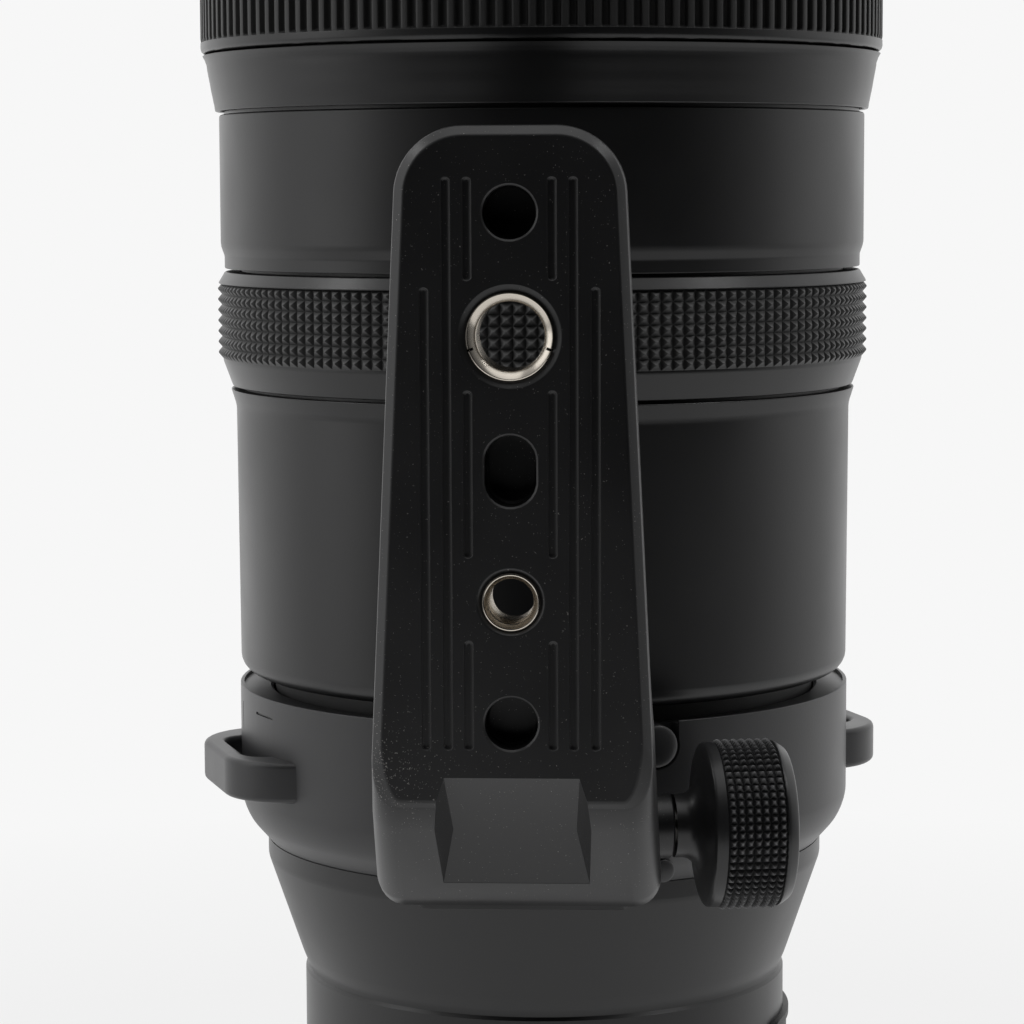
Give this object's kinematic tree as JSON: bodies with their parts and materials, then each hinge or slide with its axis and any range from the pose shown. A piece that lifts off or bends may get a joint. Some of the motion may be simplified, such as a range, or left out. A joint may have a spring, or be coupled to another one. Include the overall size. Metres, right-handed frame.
{
  "type": "camera zoom lens",
  "caption": "Long telephoto zoom lens with ribbed zoom ring, knurled focus ring, rotating tripod collar, clamp knob, strap lugs and grooved tripod foot.",
  "frame": {"origin": "centre of the seating face of the bayonet flange", "axes": "+Z along the optical axis to the front element, -Y to the tripod foot, +X to the side with the switch panel and the clamp knob"},
  "size_m": [0.111, 0.147, 0.321],
  "materials": {
    "bright_metal": "satin",
    "steel": "satin",
    "rubber": "matt",
    "black_plastic": "matt",
    "gold": "polished",
    "black_alloy": "matt black coating",
    "glass": "coated",
    "board": "satin",
    "white_mark": "matt"
  },
  "bodies": {
    "lens": {"mount_ring": "bright_metal", "mount_screws": "steel", "mount_gasket": "rubber", "contact_block": "black_plastic", "contact_pins": "gold", "rear_baffle": "black_plastic", "rear_cell": "black_alloy", "rear_glass": "glass", "circuit_board": "board", "rear_barrel": "black_alloy", "mount_index": "white_mark", "switch_panel": "black_plastic", "rear_cone": "black_alloy", "main_tube": "black_alloy", "barrel_b": "black_alloy", "barrel_a": "black_plastic", "taper_ring": "black_plastic", "front_barrel": "black_plastic", "hood_bayonet": "black_plastic", "filter_ring": "black_plastic", "front_glass": "glass", "front_cell": "black_alloy", "inner_glass": "glass", "iris_unit": "black_plastic", "rod_plate_rear": "black_alloy", "rod_plate_front": "black_alloy", "guide_rods": "steel", "focus_motor": "steel"},
    "collar": {"collar_ring": "black_alloy", "collar_liner": "rubber", "foot": "black_alloy", "foot_screws": "steel", "large_insert": "steel", "small_insert": "steel", "strap_lug_left": "black_alloy", "strap_lug_right": "black_alloy"},
    "clamp_stem": {"clamp_screw": "steel"},
    "knob": {"clamp_knob": "black_alloy"},
    "focus_grip_ring": {"focus_ring": "black_alloy", "focus_grip": "rubber"},
    "zoom_grip_ring": {"zoom_ring": "black_plastic", "zoom_grip": "rubber", "cam_tube": "bright_metal"},
    "zoom_group": {"zoom_cell": "black_plastic", "zoom_glass": "glass", "cam_followers": "gold"},
    "focus_group": {"focus_cell": "black_plastic", "focus_glass": "glass"},
    "mode_switch": {"focus_mode_slider": "black_plastic"},
    "limit_switch": {"focus_limit_slider": "black_plastic"}
  },
  "joints": [
    {"name": "collar_turn", "type": "hinge", "parent": "lens", "child": "collar", "pos_m": [0, 0, 0.092], "axis": [0, 0, 1], "continuous": true},
    {"name": "clamp_lift", "type": "slide", "parent": "collar", "child": "clamp_stem", "axis": [0.9848, 0.1736, 0], "range_m": [0, 0.0012]},
    {"name": "knob_turn", "type": "hinge", "parent": "clamp_stem", "child": "knob", "pos_m": [0.0215, -0.062, 0.093], "axis": [0.9848, 0.1736, 0], "range_deg": [0, 540]},
    {"name": "focus_turn", "type": "hinge", "parent": "lens", "child": "focus_grip_ring", "pos_m": [0, 0, 0.163], "axis": [0, 0, 1], "continuous": true},
    {"name": "zoom_turn", "type": "hinge", "parent": "lens", "child": "zoom_grip_ring", "pos_m": [0, 0, 0.242], "axis": [0, 0, 1], "range_deg": [0, 72]},
    {"name": "zoom_slide", "type": "slide", "parent": "lens", "child": "zoom_group", "axis": [0, 0, 1], "range_m": [0, 0.038]},
    {"name": "focus_slide", "type": "slide", "parent": "lens", "child": "focus_group", "axis": [0, 0, 1], "range_m": [0, 0.012]},
    {"name": "mode_slide", "type": "slide", "parent": "lens", "child": "mode_switch", "axis": [0, 0, 1], "range_m": [0, 0.003]},
    {"name": "limit_slide", "type": "slide", "parent": "lens", "child": "limit_switch", "axis": [0, 0, 1], "range_m": [0, 0.003]}
  ],
  "couplings": [
    {"joint": "knob_turn", "follows": "clamp_lift", "rad_per_m": 7854},
    {"joint": "zoom_slide", "follows": "zoom_turn", "m_per_rad": 0.030239}
  ]
}
